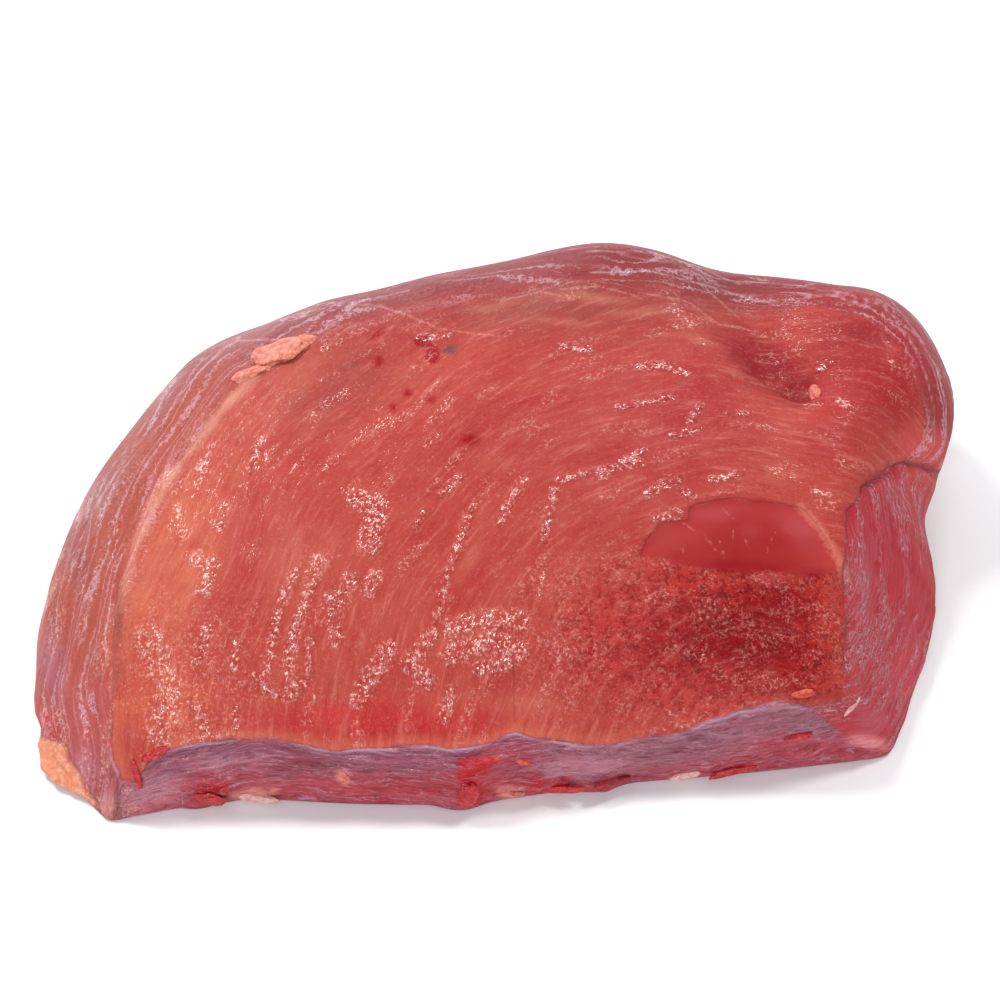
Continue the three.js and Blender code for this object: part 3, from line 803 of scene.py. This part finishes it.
def skinLayers(tree, m):
    # long fine lines round the sides, a crinkled film of threads at the right and the front, with painted
    # shade in the hollows of the folds and painted highlights on their crests and along the front's upper
    # edge
    up = calc(tree, "MULTIPLY_ADD", split(tree, m.skin)[2], 0.4, calc(tree, "MULTIPLY", m.folds, 0.7))
    up = calc(tree, "MULTIPLY_ADD", m.jitter, 0.9, up)
    fold = times(tree, calc(tree, "PINGPONG", up, 0.5), 2.0)
    m.crinkle = grain(tree, m.skin, (3.6, 3.6, 1.4), 2, 0.6, 0.5)
    m.line = times(tree, ease(tree, fold, 0.66, 1.0), ease(tree, m.mottle, -0.9, 0.5, 0.8))
    m.line = times(tree, m.line, calc(tree, "MULTIPLY_ADD", m.right, -0.6, 1.0))
    film = ease(tree, calc(tree, "MULTIPLY_ADD", m.mottle, 0.8, m.folds), -0.2, 0.5)
    spread = calc(tree, "MAXIMUM", m.right, calc(tree, "MULTIPLY_ADD", m.front, 0.25, 0.12))
    m.net = times(tree, threads(tree, m.crinkle, 0.05), film, spread)
    m.covered = times(tree, calc(tree, "MAXIMUM", m.line, m.net), m.cover)
    # painted shade: darker in the hollows of the folds
    deep = ease(tree, m.folds, -0.15, -0.7, 0.35)
    gap = calc(tree, "MAXIMUM", deep, ease(tree, fold, 0.4, 0.05, 0.2))
    # the lilac of the skin's lines and threads: the membrane's own colour, and on the crests of the folds a
    # painted sheen, bluer on the front
    lilac = mixColour(tree, m.front, flat(226, 184, 194), flat(186, 146, 172))
    # painted highlight: a pale line along the upper edge of the front
    lip = ease(tree, calc(tree, "ABSOLUTE", calc(tree, "ADD", m.rim, 1.6), 0.0), 1.8, 0.0)
    lip = times(tree, lip, ease(tree, m.mottle, -0.6, 0.6), m.front)
    wisp = times(tree, ease(tree, m.hairline, 0.5, 0.0), ease(tree, m.ragged, 0.3, 0.55))
    thin = mixColour(tree, m.cover, flat(220, 140, 132), flat(238, 208, 216))
    return [
        (times(tree, gap, m.cover), flat(128, 34, 40)),
        (times(tree, film, m.right, 0.05), flat(196, 120, 136)),
        # painted shade in the hollows and painted highlight on the crests of the front's wrinkles, from the
        # same noise as their relief
        (times(tree, ease(tree, m.crinkle, 0.46, 0.3, 0.5), m.front, m.cover), flat(104, 40, 54)),
        (times(tree, ease(tree, m.crinkle, 0.54, 0.72, 0.5), m.front, m.cover), flat(196, 142, 160)),
        (times(tree, m.covered, 0.55), lilac),
        (times(tree, lip, 0.5), flat(216, 176, 196)),
        (times(tree, wisp, calc(tree, "MULTIPLY_ADD", m.cover, -0.1, 0.4)), thin),
    ]


def glintLayers(tree, m):
    # painted highlights: broken rings and worms of light in the damp places, thin dashes on the torn lean,
    # specks; the coat gives the same places real gloss
    drops = grain(tree, m.fibre, (1.5, 1.5, 0.75), 1, 0.5)
    m.beadSource = addNode(tree, "ShaderNodeMix", {0: m.grainy, 2: drops, 3: m.crumbs}).outputs[0]
    m.bead = times(tree, threads(tree, m.beadSource, 0.05), ease(tree, m.ragged, 0.44, 0.6), m.bare)
    m.bead = times(tree, m.bead, calc(tree, "MULTIPLY_ADD", m.face, 0.12, m.wet))
    m.damp = times(tree, ease(tree, m.ragged, 0.42, 0.62), m.wet, m.bare)
    m.damp = times(tree, m.damp, calc(tree, "MULTIPLY_ADD", m.grainy, -0.7, 1.0))
    spark = mixColour(tree, m.grainy, flat(255, 210, 196), flat(246, 150, 134))
    fine = grain(tree, m.place, (0.8, 0.8, 0.8), 0, 0.5)
    m.speck = times(tree, ease(tree, fine, 0.66, 0.76), calc(tree, "MULTIPLY_ADD", m.face, 0.03, m.wet))
    m.speck = times(tree, m.speck, m.bare, calc(tree, "MULTIPLY_ADD", m.grainy, -0.6, 1.0))
    return [
        (times(tree, m.damp, 0.16), flat(240, 150, 140)),
        (times(tree, m.bead, 0.65), spark),
        (times(tree, m.speck, 0.8), flat(255, 190, 160)),
    ]


def relief(tree, m):
    # each pattern and how high it stands in mm
    patterns = [
        (m.beadSource, times(tree, m.wet, 0.8)),
        (m.crumbs, times(tree, m.pulpy, 0.6)),
        (m.window, times(tree, m.step, -0.12)),
        (m.slit, -0.15),
        (m.crinkle, times(tree, m.cover, calc(tree, "MULTIPLY_ADD", m.front, 0.6, 0.5))),
        (m.ragged, times(tree, m.cover, 0.25)),
        (m.line, times(tree, m.cover, 0.22)),
        (m.net, times(tree, m.cover, 0.3)),
    ]
    height = times(tree, m.streaks, 0.2, m.plain)
    for pattern, high in patterns:
        height = calc(tree, "MULTIPLY_ADD", pattern, high, height)
    return height


def wetMeat():
    made = bpy.data.materials.new("wetMeat")
    made.use_nodes = True
    tree = made.node_tree
    shader = tree.nodes["Principled BSDF"]
    m = readMasks(tree)
    colour = readAttribute(tree, "tint", "Color")
    for share, over in leanLayers(tree, m) + skinLayers(tree, m) + glintLayers(tree, m):
        colour = mixColour(tree, share, colour, over)
    tree.links.new(colour, shader.inputs["Base Color"])
    wetness = calc(tree, "MAXIMUM", m.damp, m.bead)
    for other in (times(tree, m.covered, 0.5), m.speck, times(tree, m.cover, 0.08)):
        wetness = calc(tree, "MAXIMUM", wetness, other)
    tree.links.new(wetness, shader.inputs["Coat Weight"])
    bump = bendNormal(tree, relief(tree, m))
    tree.links.new(bump, shader.inputs["Normal"])
    tree.links.new(bump, shader.inputs["Coat Normal"])
    shader.inputs["Roughness"].default_value = 0.55
    shader.inputs["Coat Roughness"].default_value = 0.06
    shader.inputs["Coat IOR"].default_value = 1.9
    shader.inputs["Specular IOR Level"].default_value = 0.12
    shader.inputs["Subsurface Weight"].default_value = 0.15
    shader.inputs["Subsurface Radius"].default_value = (1.0, 0.35, 0.25)
    shader.inputs["Subsurface Scale"].default_value = 1.5 * mm
    return made


meat.data.materials.append(wetMeat())
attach(meat, "root")
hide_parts("topside")
print("meat finished")

# scraps of fat and meat that cling to it: where in the picture, then length, width and thickness in mm,
# how far turned anticlockwise, and the stuff
scraps = {
    "fatFleck": ((278, 353), (13.0, 7.0, 2.6), 12, "fat"),
    "fatFleckTip": ((300, 346), (8.0, 5.0, 2.0), 24, "fat"),
    "fatCrumb": ((245, 375), (7.0, 3.0, 1.6), 24, "fat"),
    "fatShred": ((262, 368), (6.0, 2.6, 1.4), 30, "fat"),
    "pitBead": ((815, 393), (2.8, 5.0, 2.0), 10, "pink"),
    "bandBit": ((343, 776), (2.6, 4.0, 1.0), 20, "pink"),
    "orangeChip": ((522, 762), (4.0, 1.2, 0.7), -20, "orange"),
    "foldChip": ((799, 737), (6.0, 2.4, 1.4), 5, "red"),
    "cornerShred": ((136, 774), (1.8, 7.0, 1.4), 14, "red"),
    "cornerChip": ((155, 754), (6.0, 2.0, 1.4), 24, "red"),
    "edgeBit": ((803, 694), (5.0, 2.0, 1.2), 15, "orange"),
    # glintBit is a pale sliver set where a glint shows: a painted highlight made as a solid piece
    "glintBit": ((852, 707), (5.4, 1.1, 0.8), 40, "pale"),
    "tagEnd": ((468, 795), (4.5, 6.0, 1.6), -8, "red"),
    "tagTop": ((486, 761), (6.5, 1.6, 0.9), 16, "red"),
    "hemTag": ((211, 800), (6.5, 6.0, 1.8), 10, "red"),
    "hemStrip": ((252, 797), (12.0, 2.6, 1.4), 2, "pale"),
    "hemCurl": ((556, 789), (11.0, 2.4, 1.6), 12, "red"),
    "hemMorsel": ((508, 794), (7.0, 2.2, 1.2), 0, "pink"),
    "hemPip": ((612, 784), (9.0, 2.4, 1.4), 4, "dark"),
    "hemFlake": ((686, 775), (6.5, 1.8, 1.2), 8, "pale"),
    "hemSliver": ((734, 771), (10.0, 2.2, 1.4), 10, "red"),
}
stuffs = {
    "fat": (flat(190, 98, 78), flat(216, 134, 110), 0.35),
    "pink": (flat(190, 84, 78), flat(220, 130, 112), 0.3),
    "pale": (flat(216, 146, 136), flat(236, 190, 182), 0.3),
    "red": (flat(164, 16, 26), flat(194, 46, 50), 0.25),
    "orange": (flat(186, 54, 34), flat(214, 96, 60), 0.3),
    "dark": (flat(128, 8, 26), flat(160, 34, 50), 0.3),
}
# how each of them is made from a cube of size 1
morsel = {
    "coarse": 0.34,   # how far its points go astray, first
    "fine": 0.1,      # and then with more of them
    "fineSeed": 40,   # added to the scrap's own
    "share": 0.75,    # a cube made round like this is wider than before
    "gap": 0.1,       # mm above the table at least
}


def scrapStuff(name):
    low, high, rough = stuffs[name]
    made = bpy.data.materials.new(name + "Scrap")
    made.use_nodes = True
    tree = made.node_tree
    shader = tree.nodes["Principled BSDF"]
    place = realPlace(tree)
    cloud = grain(tree, place, (1.6, 1.6, 1.6), 3, 0.6)
    tree.links.new(mixColour(tree, ease(tree, cloud, 0.36, 0.64), low, high), shader.inputs["Base Color"])
    height = calc(tree, "MULTIPLY", grain(tree, place, (0.9, 0.9, 0.9), 2), 0.4)
    tree.links.new(bendNormal(tree, height), shader.inputs["Normal"])
    shader.inputs["Roughness"].default_value = rough
    shader.inputs["Specular IOR Level"].default_value = 0.4
    shader.inputs["Subsurface Weight"].default_value = 0.2
    shader.inputs["Subsurface Radius"].default_value = (1.0, 0.4, 0.3)
    shader.inputs["Subsurface Scale"].default_value = 1.5 * mm
    return made


def sightLine(spot):
    # where the camera's line through a spot of the picture starts, and its direction
    eye, back, up = viewAxes()
    scale = view["lens"] / view["sensor"] * view["picture"]
    half = view["picture"] / 2
    along = np.array([(spot[0] - half) / scale, 0, 0]) - up * (spot[1] - half) / scale - back
    return Vector(eye * mm), Vector(along).normalized()


def addScrap(name, size, seed, stuff):
    # a torn morsel: a rounded cube made uneven, then flattened
    bpy.ops.object.select_all(action="DESELECT")
    bpy.ops.mesh.primitive_cube_add(size=1)
    scrap = bpy.context.object
    scrap.name = name
    bpy.ops.object.mode_set(mode="EDIT")
    bpy.ops.mesh.select_all(action="SELECT")
    bpy.ops.mesh.subdivide(number_cuts=2, smoothness=0.9)
    bpy.ops.transform.vertex_random(offset=morsel["coarse"], seed=seed)
    bpy.ops.mesh.subdivide(number_cuts=1, smoothness=0.5)
    bpy.ops.transform.vertex_random(offset=morsel["fine"], seed=seed + morsel["fineSeed"])
    bpy.ops.transform.resize(value=[s * mm * morsel["share"] for s in size], center_override=(0, 0, 0))
    bpy.ops.object.mode_set(mode="OBJECT")
    finer = scrap.modifiers.new("finer", "SUBSURF")
    finer.levels = finer.render_levels = 2
    bpy.ops.object.modifier_apply(modifier="finer")
    bpy.ops.object.shade_smooth()
    scrap.data.materials.append(stuff)
    return scrap


def settle(scrap, place, normal, turn):
    # it lies flat on the surface with its length across the picture, then turned; never under the table
    across = Vector((1, 0, 0))
    side = (across - normal * normal.dot(across)).normalized()
    pose = Matrix((side, normal.cross(side), normal)).transposed()
    pose = pose @ Matrix.Rotation(math.radians(turn), 3, "Z")
    scrap.data.transform(Matrix.Translation(place) @ pose.to_4x4())
    low = min(v.co.z for v in scrap.data.vertices)
    scrap.data.transform(Matrix.Translation((0, 0, max(0, morsel["gap"] * mm - low))))
    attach(scrap, "root")


def addScraps():
    surface = BVHTree.FromObject(meat, bpy.context.evaluated_depsgraph_get())
    stuff = {name: scrapStuff(name) for name in stuffs}
    for seed, (name, (spot, size, turn, kind)) in enumerate(scraps.items()):
        place, normal = surface.ray_cast(*sightLine(spot))[:2]
        scrap = addScrap(name, size, seed, stuff[kind])
        settle(scrap, place, normal, turn)


addScraps()
print("scraps added")
